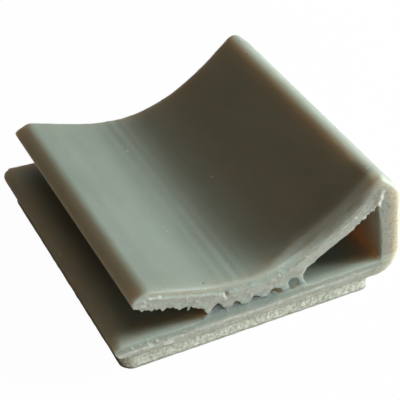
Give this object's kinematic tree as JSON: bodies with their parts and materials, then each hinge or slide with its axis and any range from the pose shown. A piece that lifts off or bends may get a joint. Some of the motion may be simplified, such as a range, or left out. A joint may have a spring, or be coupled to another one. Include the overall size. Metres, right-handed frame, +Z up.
{
  "type": "self-adhesive flat cable clip",
  "caption": "Self-adhesive clip for flat ribbon cable: a plastic base on foam tape, folded up and back into a sprung leaf whose teeth press on the base.",
  "frame": {"origin": "middle of the underside, where the adhesive pad meets the mounting surface", "axes": "+Z up from the mounting surface, -X towards the mouth where the cable slides in, Y along the extrusion"},
  "size_m": [0.025, 0.025, 0.0111],
  "materials": {
    "grey_pvc": "satin extruded grey PVC, slightly translucent",
    "foam": "matt closed-cell foam tape",
    "liner_paper": "coated release paper"
  },
  "bodies": {
    "root": {"clip_body": "grey_pvc", "foam_tape": "foam", "release_liner": "liner_paper"}
  },
  "joints": []
}
